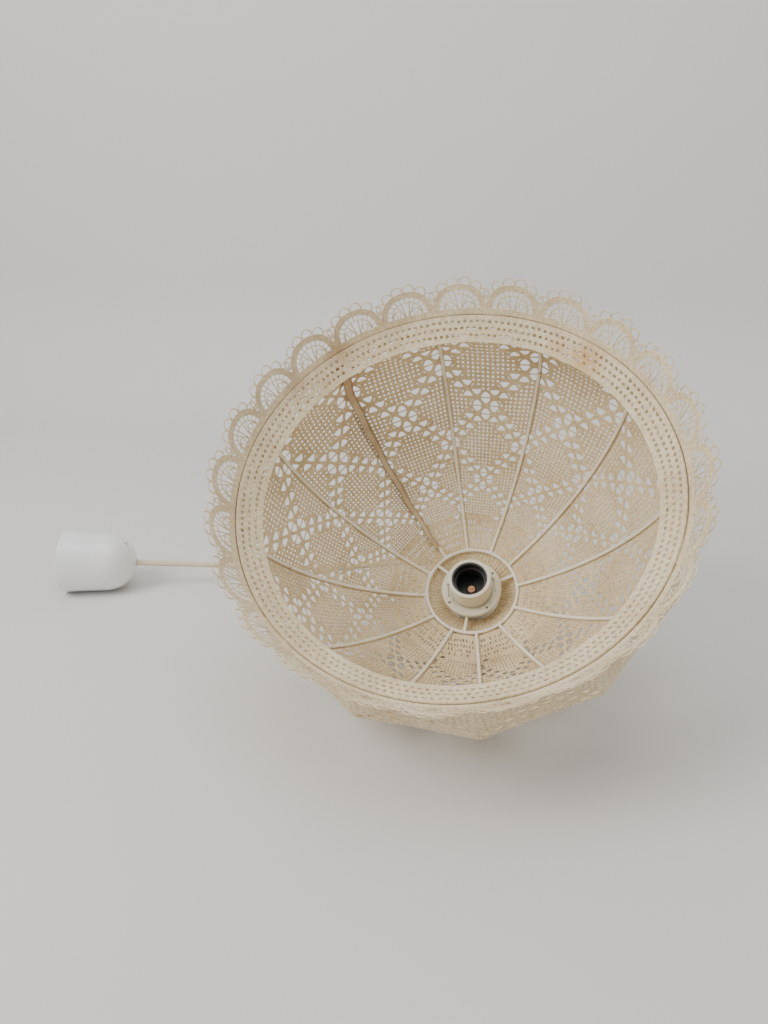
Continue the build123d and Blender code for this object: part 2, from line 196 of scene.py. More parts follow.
def mathOf(tree, operation, first, second=0.0):
    node = addNode(tree, "ShaderNodeMath", operation=operation)
    for socket, value in zip(node.inputs, (first, second)):
        if hasattr(value, "links"):
            tree.links.new(value, socket)
        else:
            socket.default_value = value
    return node.outputs["Value"]


def nearOf(tree, place, reach):
    # 1 at a place on the object, falling to 0 at reach
    where = tree.nodes.new("ShaderNodeTexCoord")
    gap = addNode(tree, "ShaderNodeVectorMath", operation="DISTANCE")
    tree.links.new(where.outputs["Object"], gap.inputs[0])
    gap.inputs[1].default_value = place
    fade = tree.nodes.new("ShaderNodeMapRange")
    tree.links.new(gap.outputs["Value"], fade.inputs["Value"])
    fade.inputs["From Min"].default_value = reach
    fade.inputs["From Max"].default_value = 0.0
    return fade.outputs["Result"]


def bumpOf(tree, shader, height, strength, distance):
    bump = addNode(tree, "ShaderNodeBump", Strength=strength, Distance=distance)
    tree.links.new(height, bump.inputs["Height"])
    tree.links.new(bump.outputs["Normal"], shader.inputs["Normal"])


threads = {
    "lace": {"pale": (0.84, 0.70, 0.46), "deep": (0.68, 0.53, 0.30), "grain": 900.0},
    "hem": {"pale": (0.88, 0.76, 0.53), "deep": (0.74, 0.61, 0.39), "grain": 1000.0},
    "trim": {"pale": (0.86, 0.74, 0.51), "deep": (0.72, 0.58, 0.36), "grain": 1100.0},
}


def shadePoint(radius, angle, height):
    turn = math.radians(angle)
    ray = sideways * math.cos(turn) + upSlope * math.sin(turn)
    return shadeCentre + (ray * radius + shadeAxis * height) * mm


# brown and orange age marks: place on the shade, reach, strength, colour
laceMarks = [
    (shadePoint(175, 134, 190), 0.020, 1.0, (0.36, 0.17, 0.07)),
    (shadePoint(178, 132, 165), 0.030, 0.7, (0.45, 0.25, 0.11)),
    (shadePoint(150, 137, 120), 0.045, 0.5, (0.47, 0.30, 0.16)),
    (shadePoint(172, 96, 200), 0.020, 0.7, (0.45, 0.26, 0.10)),
    (shadePoint(172, 84, 200), 0.018, 0.6, (0.42, 0.28, 0.10)),
    (shadePoint(176, 40, 170), 0.025, 0.6, (0.56, 0.34, 0.14)),
    (shadePoint(172, 22, 150), 0.030, 0.5, (0.56, 0.36, 0.17)),
    (shadePoint(75, -70, 15), 0.026, 0.7, (0.40, 0.24, 0.11)),
    (shadePoint(110, -48, 45), 0.020, 0.7, (0.50, 0.30, 0.14)),
    (shadePoint(75, 200, 18), 0.024, 0.5, (0.45, 0.28, 0.13)),
]
hemMarks = [
    (shadePoint(160, 57, 194), 0.020, 0.9, (0.66, 0.36, 0.12)),
    (shadePoint(158, 66, 192), 0.016, 0.7, (0.68, 0.42, 0.18)),
    (shadePoint(169, 135, 202), 0.016, 0.8, (0.50, 0.29, 0.14)),
    (shadePoint(169, 152, 202), 0.018, 0.5, (0.56, 0.36, 0.20)),
]


def threadMaterial(name, facts, marks):
    material, tree, shader = newMaterial(name, 0.86, sheen=0.25)
    tone = rampOf(tree, noiseOf(tree, 22.0), [(0.3, facts["deep"]), (0.62, facts["pale"])])
    fleck = rampOf(tree, noiseOf(tree, 420.0, 5.0), [(0.35, (0.72, 0.66, 0.58)), (0.6, (1, 1, 1))])
    colour = mixOf(tree, 0.75, tone, fleck, "MULTIPLY")
    for place, reach, strength, stain in marks:
        spread = mathOf(tree, "MULTIPLY", nearOf(tree, place, reach), noiseOf(tree, 160.0))
        share = mathOf(tree, "MULTIPLY", spread, strength * 1.7)
        share = mathOf(tree, "MINIMUM", share, 1.0)
        colour = mixOf(tree, share, colour, stain)
    tree.links.new(colour, shader.inputs["Base Color"])
    bumpOf(tree, shader, noiseOf(tree, facts["grain"], 4.0), 0.55, 0.0004)
    return material


def plasticMaterial(name, pale, deep, roughness, coat=0.0, grain=700.0, bump=0.08):
    material, tree, shader = newMaterial(name, roughness, coat=coat)
    tone = rampOf(tree, noiseOf(tree, 35.0), [(0.35, deep), (0.65, pale)])
    tree.links.new(tone, shader.inputs["Base Color"])
    wear = rampOf(tree, noiseOf(tree, 90.0), [(0.4, (roughness,) * 3), (0.75, (roughness + 0.18,) * 3)])
    tree.links.new(wear, shader.inputs["Roughness"])
    bumpOf(tree, shader, noiseOf(tree, grain), bump, 0.0003)
    return material


def wireMaterial():
    # cream plastic coat, rubbed brown where it has aged
    material, tree, shader = newMaterial("coatedWire", 0.32, coat=0.3)
    tone = rampOf(tree, noiseOf(tree, 60.0), [(0.3, (0.86, 0.79, 0.62)), (0.6, (0.94, 0.90, 0.78))])
    rust = rampOf(tree, noiseOf(tree, 130.0, 6.0), [(0.66, (0, 0, 0)), (0.74, (1, 1, 1))])
    tree.links.new(mixOf(tree, rust, tone, (0.42, 0.24, 0.11)), shader.inputs["Base Color"])
    bumpOf(tree, shader, noiseOf(tree, 500.0), 0.15, 0.0003)
    return material


def metalMaterial(name, pale, deep, roughness):
    material, tree, shader = newMaterial(name, roughness, metallic=1.0)
    tone = rampOf(tree, noiseOf(tree, 180.0, 5.0), [(0.4, deep), (0.65, pale)])
    tree.links.new(tone, shader.inputs["Base Color"])
    bumpOf(tree, shader, noiseOf(tree, 900.0), 0.2, 0.0002)
    return material


laceCloth = threadMaterial("laceCotton", threads["lace"], laceMarks)
hemCloth = threadMaterial("hemCotton", threads["hem"], hemMarks)
trimCloth = threadMaterial("trimCotton", threads["trim"], hemMarks[2:])
coatedWire = wireMaterial()
ivoryPlastic = plasticMaterial("ivoryPlastic", (0.80, 0.75, 0.60), (0.74, 0.67, 0.50), 0.30, coat=0.2)
blackPlastic = plasticMaterial("blackPlastic", (0.030, 0.028, 0.026), (0.012, 0.011, 0.010), 0.35)
greyPlastic = plasticMaterial("greyPlastic", (0.30, 0.30, 0.30), (0.22, 0.22, 0.22), 0.5)
whitePlastic = plasticMaterial(
    "whitePlastic", (0.86, 0.87, 0.87), (0.82, 0.83, 0.83), 0.14, coat=0.6, bump=0.02
)
blockPlastic = plasticMaterial("blockPlastic", (0.80, 0.80, 0.76), (0.72, 0.72, 0.68), 0.4)
cordPlastic = plasticMaterial("cordPlastic", (0.74, 0.64, 0.46), (0.66, 0.55, 0.38), 0.48, grain=1200.0)
agedBrass = metalMaterial("agedBrass", (0.50, 0.29, 0.15), (0.28, 0.15, 0.08), 0.38)
platedSteel = metalMaterial("platedSteel", (0.62, 0.61, 0.58), (0.42, 0.40, 0.36), 0.35)

nodeFinish = {
    "top_ring": coatedWire,
    "bottom_ring": coatedWire,
    "fitter_ring": coatedWire,
    "holder_skirt": ivoryPlastic,
    "holder_cap": ivoryPlastic,
    "cord_grip": ivoryPlastic,
    "shade_ring": ivoryPlastic,
    "lamp_liner": blackPlastic,
    "contact_base": blackPlastic,
    "centre_contact": agedBrass,
    "side_contact": agedBrass,
    "terminal_screws": platedSteel,
    "block_screws": platedSteel,
    "terminal_block": blockPlastic,
    "ceiling_cup": whitePlastic,
    "cup_grub_screw": greyPlastic,
}


def finishNodes():
    for name, node in frame["nodes"].items():
        if name.startswith(("rib_", "spoke_")):
            finish = coatedWire
        else:
            finish = nodeFinish.get(name)
        if finish:
            node.data.materials.clear()
            node.data.materials.append(finish)


finishNodes()
cordSheath.data.materials.append(cordPlastic)
print("finishes made")


# cloth is built flat and pierced, then bent to the shade
def growLoop(points, reach):
    # moves a closed loop's points outwards by reach
    count = len(points)
    grown = []
    for k in range(count):
        ax, ay = points[k - 1]
        bx, by = points[(k + 1) % count]
        tx, ty = bx - ax, by - ay
        size = math.hypot(tx, ty) or 1.0
        grown.append((points[k][0] + ty / size * reach, points[k][1] - tx / size * reach))
    return grown


def pierce(outline, edge, holes, rounding):
    # outline is the cloth's loop, and holes are loops that turn the same way
    # edge has the thin edge beyond each of the outline's points, or None at a join
    # the result is flat points, their side (1 outer, -1 inner, 0 edge) and faces
    points = [Vector(p) for p in outline]
    loops = [list(range(len(points)))]
    for hole in holes:
        grown = growLoop(hole, rounding)
        loops.append(list(range(len(points), len(points) + len(grown))))
        points += [Vector(p) for p in grown]
    made, _, triangles, madeFrom, _, facesFrom = delaunay_2d_cdt(points, [], loops, 1, 1e-6)
    kept = [t for t, owners in zip(triangles, facesFrom) if owners == [0]]
    madeAt = {}
    for index, sources in enumerate(madeFrom):
        for source in sources:
            madeAt[source] = index
    count = len(made)
    flat = [(p.x, p.y) for p in made] * 2
    side = [1.0] * count + [-1.0] * count
    faces = [tuple(t) for t in kept] + [tuple(count + i for i in reversed(t)) for t in kept]

    def hemRound(loop, edgePoints, turned):
        first = len(flat)
        size = len(loop)
        for point in edgePoints:
            flat.append(point or (0.0, 0.0))
            side.append(0.0)
        for k in range(size):
            after = (k + 1) % size
            if edgePoints[k] is None or edgePoints[after] is None:
                continue
            a, b = madeAt[loop[k]], madeAt[loop[after]]
            quad = (a, b, first + after, first + k)
            back = (count + b, count + a, first + k, first + after)
            if turned:
                quad, back = quad[::-1], back[::-1]
            faces.append(quad)
            faces.append(back)

    hemRound(loops[0], edge, True)
    for loop, hole in zip(loops[1:], holes):
        hemRound(loop, hole, False)
    return flat, side, faces


def buildMesh(name, places, faces, material, body, joinWithin=0.0, angle=50.0):
    mesh = bpy.data.meshes.new(name)
    mesh.from_pydata([tuple(p) for p in places], [], faces)
    shape = bmesh.new()
    shape.from_mesh(mesh)
    if joinWithin:
        bmesh.ops.remove_doubles(shape, verts=shape.verts, dist=joinWithin)
    loose = [v for v in shape.verts if not v.link_faces]
    bmesh.ops.delete(shape, geom=loose, context="VERTS")
    bmesh.ops.recalc_face_normals(shape, faces=shape.faces)
    shape.to_mesh(mesh)
    shape.free()
    mesh.materials.append(material)
    mesh.shade_smooth()
    mesh.set_sharp_from_angle(angle=math.radians(angle))
    piece = bpy.data.objects.new(name, mesh)
    bpy.context.scene.collection.objects.link(piece)
    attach(piece, body)
    return piece


# lace gores: the frame they are sewn on, then their pattern
gore = {
    "ribs": 12,
    "ringRadius": 44.0,
    "elbowRadius": 177.0,
    "elbowHeight": 145.0,
    "bowRadius": 206.0,
    "rimRadius": 168.2,
    "edgeHeight": 202.0,
    "wireToLace": 2.5,
    "halfThickness": 0.45,
    "startShare": 0.015,
    "elbowSoftness": 5.0,
    "sag": 1.2,
    "seamMargin": 2.2,
    "rounding": 0.28,
}
lacework = {
    "leafAcross": 9.16,
    "leafAlong": 9.6,
    "repeat": 10,
    "leafLong": 4.0,
    "leafHigh": 2.1,
    # solid cloth beside a leaf and at a big hole's point
    "leafSide": 0.5,
    "leafTip": 1.2,
    "threadHalf": 0.7,
    "shiftAcross": 41.0,
    "shiftAlong": 30.0,
    "netAcross": 4.7,
    "netAlong": 4.6,
    "netHole": 1.22,
    "netSquareness": 0.9,
    "netWander": 0.15,
    "slitLong": 1.9,
    "slitWide": 0.42,
    "slitApart": 0.95,
    "apart": 0.6,
    "gatherFrom": 80.0,
    "gatherTo": 0.50,
    "pleatsFrom": 232.0,
    "pleatApart": 2.9,
    "pleatRows": 6.6,
    "pleatMissing": 0.22,
    "reach": 75,
}
halfTurn = math.pi / gore["ribs"]


def bowCentre():
    run = gore["elbowRadius"] - gore["ringRadius"]
    chord = math.hypot(run, gore["elbowHeight"])
    reach = math.sqrt(gore["bowRadius"] ** 2 - (chord / 2) ** 2)
    middle = ((gore["elbowRadius"] + gore["ringRadius"]) / 2, gore["elbowHeight"] / 2)
    return middle[0] - gore["elbowHeight"] / chord * reach, middle[1] + run / chord * reach


bowR, bowH = bowCentre()
bowStart = math.atan2(-bowH, gore["ringRadius"] - bowR)


def bowPoint(share, offset):
    reach = gore["bowRadius"] + offset
    end = math.asin((gore["elbowHeight"] - bowH) / reach)
    turn = bowStart + (end - bowStart) * share
    return bowR + reach * math.cos(turn), bowH + reach * math.sin(turn)


def laceProfile(offset):
    # radius and height along a rib from the mouth's edge to the top ring, by length
    elbow = bowPoint(1, offset)
    edgeR = gore["rimRadius"] + offset
    steps = 60
    edgeH = gore["edgeHeight"]
    line = [
        (edgeR + (elbow[0] - edgeR) * k / steps, edgeH + (elbow[1] - edgeH) * k / steps)
        for k in range(steps)
    ]
    bowSteps = 240
    line += [bowPoint(1 - k / bowSteps * (1 - gore["startShare"]), offset) for k in range(bowSteps + 1)]
    line = np.array(line)
    length = np.concatenate([[0], np.cumsum(np.hypot(*np.diff(line, axis=0).T))])
    even = np.arange(0, length[-1], 1.0)
    even = np.append(even, length[-1])
    radius = np.interp(even, length, line[:, 0])
    height = np.interp(even, length, line[:, 1])
    reach = int(gore["elbowSoftness"])
    elbowAt = int(length[steps])
    for values in (radius, height):
        source = values.copy()
        for k in range(elbowAt - reach, elbowAt + reach + 1):
            values[k] = source[k - reach : k + reach + 1].mean()
    return even, radius, height, length[steps]


alongs, profileR, profileH, elbowAlong = laceProfile(gore["wireToLace"])
laceLength = float(alongs[-1])
normalR = -np.gradient(profileH, alongs)
normalH = np.gradient(profileR, alongs)
normalSize = np.hypot(normalR, normalH)
normalR, normalH = normalR / normalSize, normalH / normalSize
if normalR[0] < 0:
    normalR, normalH = -normalR, -normalH


def goreHalfWidth(along):
    return float(np.interp(along, alongs, profileR)) * math.sin(halfTurn)


def goreToSpace(flat, level, angle):
    # flat: across and along in millimetres; level: distance outwards from the middle of the cloth
    flat = np.asarray(flat, float)
    across, along = flat[:, 0], np.clip(flat[:, 1], 0, laceLength)
    radius = np.interp(along, alongs, profileR)
    height = np.interp(along, alongs, profileH)
    outR = np.interp(along, alongs, normalR)
    outH = np.interp(along, alongs, normalH)
    chord = radius * math.cos(halfTurn)
    half = radius * math.sin(halfTurn)
    curved = np.sqrt(np.maximum(radius**2 - across**2, 0))
    roundness = np.clip(1 - along / elbowAlong, 0, 1)
    ray = chord + (curved - chord) * roundness
    sag = gore["sag"] * (1 - np.clip(np.abs(across) / half, 0, 1) ** 2) * np.sin(np.pi * along / laceLength)
    lift = np.asarray(level) - sag
    ray = ray + outR * lift
    height = height + outH * lift
    turn = math.radians(angle)
    toPanel = np.array(sideways * math.cos(turn) + upSlope * math.sin(turn))
    toSide = np.array(upSlope * math.cos(turn) - sideways * math.sin(turn))
    axis = np.array(shadeAxis)
    return (
        np.array(shadeCentre)
        + (np.outer(ray, toPanel) + np.outer(across, toSide) + np.outer(height, axis)) * mm
    )


# the pattern shrinks towards the top ring, where the lace is drawn together
gatherShare = np.clip((alongs - lacework["gatherFrom"]) / (laceLength - lacework["gatherFrom"]), 0, 1)
drawn = 1 + (lacework["gatherTo"] - 1) * gatherShare
patternAlongs = np.concatenate([[0], np.cumsum(1 / drawn[:-1] * np.diff(alongs))])


def toCloth(x, y):
    along = float(np.interp(y, patternAlongs, alongs))
    return x * float(np.interp(along, alongs, drawn)), along


def squareHole(x, y, size):
    loop = []
    for k in range(8):
        turn = math.pi / 8 + k * math.pi / 4
        reach = size * lacework["netSquareness"] / max(abs(math.cos(turn)), abs(math.sin(turn)))
        loop.append((x + reach * math.cos(turn), y + reach * math.sin(turn)))
    return loop


def trimmed(points):
    # rounds a loop's corners once
    loop = []
    for k, (x, y) in enumerate(points):
        nx, ny = points[(k + 1) % len(points)]
        loop.append((x * 0.75 + nx * 0.25, y * 0.75 + ny * 0.25))
        loop.append((x * 0.25 + nx * 0.75, y * 0.25 + ny * 0.75))
    return loop


def loopArea(points):
    total = 0.0
    for k in range(len(points)):
        ax, ay = points[k - 1]
        bx, by = points[k]
        total += ax * by - bx * ay
    return total / 2


def isLeaf(i, j):
    n = lacework["repeat"]
    return (i + j) % 2 == 0 and ((i + j) % n == 0 or (i - j) % n == 0)


def bigHole(x, y, up):
    a, b = lacework["leafAcross"], lacework["leafAlong"]
    wide = a - lacework["leafLong"] - lacework["leafSide"]
    high = b - lacework["leafHigh"] - lacework["leafTip"]
    low = lacework["threadHalf"]
    outline = [
        (-wide, low),
        (-wide * 0.98, low + 1.1),
        (-wide * 0.34, high),
        (wide * 0.34, high),
        (wide * 0.98, low + 1.1),
        (wide, low),
    ]
    loop = [(x + px, y + py * up) for px, py in trimmed(outline)]
    return loop if loopArea(loop) > 0 else loop[::-1]


def slitPair(x, y, leanX):
    # two narrow gaps between the three threads of a crossing
    a, b = lacework["leafAcross"], lacework["leafAlong"]
    size = math.hypot(a, b)
    dx, dy = leanX * a / size, b / size
    pair = []
    for offset in (-lacework["slitApart"], lacework["slitApart"]):
        cx, cy = x - dy * offset, y + dx * offset
        long, wide = lacework["slitLong"], lacework["slitWide"]
        blunt = long * 0.6
        corners = [(-long, 0), (-blunt, -wide), (blunt, -wide), (long, 0), (blunt, wide), (-blunt, wide)]
        pair.append([(cx + dx * u - dy * v, cy + dy * u + dx * v) for u, v in corners])
    return pair


def laceHoles(rng):
    # every hole of one gore, as loops on the flat cloth
    # blocks are the places and half sizes that the net keeps clear of
    a, b = lacework["leafAcross"], lacework["leafAlong"]
    shiftAcross, shiftAlong = lacework["shiftAcross"], lacework["shiftAlong"]
    top = float(patternAlongs[-1])
    reachI = int(lacework["reach"] / a) + 2
    loops, slits, blocks = [], [], []
    firstI = round(shiftAcross / a)
    firstJ = round(shiftAlong / b)
    for i in range(firstI - reachI, firstI + reachI):
        for j in range(firstJ - 1, firstJ + int(top / b) + 2):
            x, y = i * a - shiftAcross, j * b - shiftAlong
            if isLeaf(i, j):
                blocks.append((x, y, lacework["leafLong"] + 1.9, lacework["leafHigh"] + 1.9))
                for leanX in (-1, 1):
                    for up in (-1, 1):
                        slits += slitPair(x + leanX * up * a / 2, y + up * b / 2, leanX)
            elif (i + j) % 2:
                between = isLeaf(i - 1, j) and isLeaf(i + 1, j)
                for up in (-1, 1):
                    if between or isLeaf(i, j + up):
                        loops.append(bigHole(x, y, up))
                        middle = b * 0.36
                        blocks.append((x, y + up * middle, a - lacework["leafLong"] + 1.7, middle + 2.2))
    loops += slits
    blocks = np.array(blocks)
    netX, netY = lacework["netAcross"], lacework["netAlong"]
    wander = lacework["netWander"]
    for i in range(int(-lacework["reach"] / netX), int(lacework["reach"] / netX) + 1):
        for j in range(1, int(top / netY)):
            x, y = (i + 0.5) * netX, (j + 0.5) * netY
            near = np.abs((np.array((x, y)) - blocks[:, :2]) / blocks[:, 2:]) ** 3
            if near.sum(axis=1).min() < 1:
                continue
            size = lacework["netHole"] * rng.uniform(0.9, 1.08)
            loops.append(squareHole(x + rng.uniform(-wander, wander), y + rng.uniform(-wander, wander), size))
    return loops


def pleatHoles(rng):
    # short slits between the folds near the top ring, on the flat cloth already
    loops = []
    row = 0
    along = lacework["pleatsFrom"] + 3
    while along < laceLength - 6:
        half = goreHalfWidth(along) - gore["seamMargin"] - 0.8
        count = int(half / 1.7)
        for k in range(-count, count + 1):
            x = (k + 0.5 * (row % 2)) * lacework["pleatApart"] + rng.uniform(-0.35, 0.35)
            if abs(x) > half or rng.random() < lacework["pleatMissing"]:
                continue
            tall, wide = rng.uniform(1.3, 2.7), rng.uniform(0.3, 0.55)
            middle, lean = along + rng.uniform(-0.7, 0.7), rng.uniform(-0.3, 0.3)
            loop = [
                (x - lean, middle - tall),
                (x + wide, middle - 1),
                (x + wide, middle + 1),
                (x + lean, middle + tall),
                (x - wide, middle + 1),
                (x - wide, middle - 1),
            ]
            loops.append(loop)
        along += lacework["pleatRows"]
        row += 1
    return loops


def fitToGore(loop):
    # keeps a hole inside the sewn margins, cut off at them, or drops it
    fitted = []
    for x, along in loop:
        if not 4.0 < along < laceLength - 2.5:
            return None
        half = goreHalfWidth(along) - gore["seamMargin"]
        fitted.append((max(-half, min(half, x)), along))
    before, after = loopArea(loop), loopArea(fitted)
    if after < 0.45 * before or after < 0.5:
        return None
    clean = [fitted[0]]
    for point in fitted[1:]:
        if math.hypot(point[0] - clean[-1][0], point[1] - clean[-1][1]) > 0.12:
            clean.append(point)
    return clean if len(clean) > 3 else None


def keptApart(holes, gap):
    # drops each hole that comes too near one before it
    kept, centres, reaches, rims = [], [], [], []
    for hole in holes:
        points = np.array(hole)
        rim = np.concatenate([points, (points + np.roll(points, -1, axis=0)) / 2])
        centre = points.mean(axis=0)
        reach = float(np.hypot(*(points - centre).T).max())
        near = False
        if kept:
            away = np.hypot(*(np.array(centres) - centre).T)
            for index in np.nonzero(away < np.array(reaches) + reach + gap)[0]:
                between = rim[:, None] - rims[index][None, :]
                space = np.hypot(between[..., 0], between[..., 1])
                if space.min() < gap or away[index] < max(reach, reaches[index]) * 0.5:
                    near = True
                    break
        if not near:
            kept.append(hole)
            centres.append(centre)
            reaches.append(reach)
            rims.append(rim)
    return kept


def goreOutline():
    steps = 48
    inner, edge = [], []
    r = gore["rounding"]
    for k in range(steps + 1):
        along = laceLength * k / steps
        inset = min(max(along, r), laceLength - r)
        half = goreHalfWidth(along)
        edge.append((half, along))
        inner.append((half - r, inset))
    for k in range(1, 8):
        x = goreHalfWidth(laceLength) * (1 - k / 4)
        edge.append((x, laceLength))
        inner.append((x, laceLength - r))
    for k in range(steps, -1, -1):
        along = laceLength * k / steps
        half = goreHalfWidth(along)
        edge.append((-half, along))
        inner.append((-half + r, min(max(along, r), laceLength - r)))
    for k in range(1, 16):
        x = goreHalfWidth(0) * (k / 8 - 1)
        edge.append((x, 0.0))
        inner.append((x, r))
    return inner, edge


def makeGore(number):
    rng = random.Random(100 + number)
    holes = []
    for loop in laceHoles(rng):
        cloth = [toCloth(x, y) for x, y in loop]
        if cloth[0][1] > lacework["pleatsFrom"] - 4:
            continue
        fitted = fitToGore(cloth)
        if fitted:
            holes.append(fitted)
    holes += [p for p in map(fitToGore, pleatHoles(rng)) if p]
    holes = keptApart([h if loopArea(h) > 0 else h[::-1] for h in holes], lacework["apart"])
    inner, edge = goreOutline()
    flat, side, faces = pierce(inner, edge, holes, gore["rounding"])
    places = goreToSpace(flat, np.array(side) * gore["halfThickness"], number * 360 / gore["ribs"])
    piece = buildMesh(f"lace_gore_{number:02d}", places, faces, laceCloth, "shade")
    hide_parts(f"lace_panel_{number:02d}")
    return len(faces)


goreFaces = sum(makeGore(number) for number in range(1, gore["ribs"] + 1))
print("lace gores made:", goreFaces, "faces, cloth length", round(laceLength, 1))


# the edges of the mouth lie on cones round the shade's axis
def coneToSpace(flat, level, start, slope, meanRadius):
    # flat: along the ring at meanRadius, and up the cone's slope from start (radius, height)
    flat = np.asarray(flat, float)
    turn = flat[:, 0] / meanRadius
    lean = math.radians(slope)
    level = np.asarray(level)
    radius = start[0] + flat[:, 1] * math.sin(lean) + level * math.cos(lean)
    height = start[1] + flat[:, 1] * math.cos(lean) - level * math.sin(lean)
    x, y, z = (np.array(v) for v in (sideways, upSlope, shadeAxis))
    out = np.outer(np.cos(turn) * radius, x) + np.outer(np.sin(turn) * radius, y) + np.outer(height, z)
    return np.array(shadeCentre) + out * mm


# the lace is joined at this rib, where the seam cover and the hem's ends are
seamTurn = 135.0

hem = {
    "width": 23.0,
    "slope": 45.0,
    "holes": 192,
    "steps": 192,
    "rows": (6.2, 12.0, 17.8),
    "holeLong": 1.6,
    "holeHigh": 1.4,
    "halfThickness": 0.55,
    "cadThickness": 1.4,
    "rounding": 0.35,
    "laceInside": 2.0,
    "laceGap": 0.5,
    "turnedIn": 1.6,
}


def makeHem():
    lean = math.radians(hem["slope"])
    edgeR = gore["rimRadius"] + hem["laceInside"] - hem["laceGap"]
    outerR = edgeR - hem["cadThickness"] * math.cos(lean)
    middle = hem["cadThickness"] / 2
    start = (
        outerR - hem["width"] * math.sin(lean) + middle * math.cos(lean),
        gore["edgeHeight"] - hem["width"] * math.cos(lean) - middle * math.sin(lean),
    )
    meanRadius = start[0] + hem["width"] / 2 * math.sin(lean)
    around = 2 * math.pi * meanRadius
    pitch = around / hem["holes"]
    width, r = hem["width"], hem["rounding"]
    rng = random.Random(7)
    # the band is cut as one strip, and its ends meet where the gores' seam is
    inner, edge = [], []
    for k in range(hem["steps"] + 1):
        x = around * k / hem["steps"]
        inner.append((x, r))
        edge.append((x, 0.0))
    inner += [(around, r + (width - 2 * r) * k / 8) for k in range(1, 8)]
    edge += [None] * 7
    for k in range(hem["steps"], -1, -1):
        x = around * k / hem["steps"]
        inner.append((x, width - r))
        edge.append((x, width))
    inner += [(0.0, r + (width - 2 * r) * k / 8) for k in range(7, 0, -1)]
    edge += [None] * 7
    holes = []
    for row, up in enumerate(hem["rows"]):
        for k in range(hem["holes"]):
            x = (k + 0.25 + 0.5 * (row % 2)) * pitch
            long = hem["holeLong"] * rng.uniform(0.8, 1.05)
            high = hem["holeHigh"] * rng.uniform(0.75, 1.1)
            tilt = rng.uniform(-0.1, 0.3)
            y = up + rng.uniform(-0.25, 0.25)
            if not long + 0.5 < x < around - long - 0.5:
                continue
            loop = []
            for n in range(8):
                turn = n * math.pi / 4
                u, v = long * math.cos(turn), high * math.sin(turn)
                across = x + u * math.cos(tilt) - v * math.sin(tilt)
                loop.append((across, y + u * math.sin(tilt) + v * math.cos(tilt)))
            holes.append(loop)
    flat, side, faces = pierce(inner, edge, holes, r * 0.8)
    flat, side = np.array(flat), np.array(side)
    # both edges of the band are turned in and stand a little thicker
    turned = hem["turnedIn"]
    turnedIn = np.exp(-((flat[:, 1] / turned) ** 2)) + np.exp(-(((flat[:, 1] - width) / turned) ** 2))
    level = side * (hem["halfThickness"] + 0.3 * turnedIn)
    flat[:, 0] += around * seamTurn / 360
    places = coneToSpace(flat, level, start, hem["slope"], meanRadius)
    piece = buildMesh("hem_edge_band", places, faces, hemCloth, "shade", joinWithin=2e-6)
    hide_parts("hem_band")
    return piece


makeHem()
print("hem band made")

trim = {
    "width": 30.0,
    "slope": 26.0,
    "scallops": 24,
    "archHigh": 22.5,
    "bandWide": 4.2,
    "picots": 6,
    "picotReach": 6.6,
    "thread": 0.55,
    "thin": 0.44,
    "cadThickness": 1.4,
    "laceOutside": 3.0,
    "sideGap": 0.4,
    "endGap": 1.5,
    # threads wander by this much from where they are laid
    "wander": 0.12,
}


def threadTube(path, radius, places2d, levels, faces, level=0.0, flatten=1.0):
    # a thread laid along a flat path; its section stands round the path
    sides = 6
    count = len(path)
    first = len(places2d)
    for k, (x, y) in enumerate(path):
        ax, ay = path[max(k - 1, 0)]
        bx, by = path[min(k + 1, count - 1)]
        size = math.hypot(bx - ax, by - ay) or 1.0
        nx, ny = -(by - ay) / size, (bx - ax) / size
        for s in range(sides):
            turn = 2 * math.pi * s / sides
            places2d.append((x + nx * radius * math.cos(turn), y + ny * radius * math.cos(turn)))
            levels.append(level + radius * flatten * math.sin(turn))
    for k in range(count - 1):
        here, after = first + k * sides, first + (k + 1) * sides
        for s in range(sides):
            t = (s + 1) % sides
            faces.append((here + s, after + s, after + t, here + t))
    faces.append(tuple(first + s for s in reversed(range(sides))))
    faces.append(tuple(first + (count - 1) * sides + s for s in range(sides)))


def archPath(halfWide, high, steps, low):
    # a full round arch that stands on its two feet
    path = []
    for k in range(steps + 1):
        turn = math.pi - math.pi * k / steps
        x = halfWide * math.copysign(abs(math.cos(turn)) ** 0.92, math.cos(turn))
        path.append((x, low + high * math.sin(turn) ** 0.85))
    return path


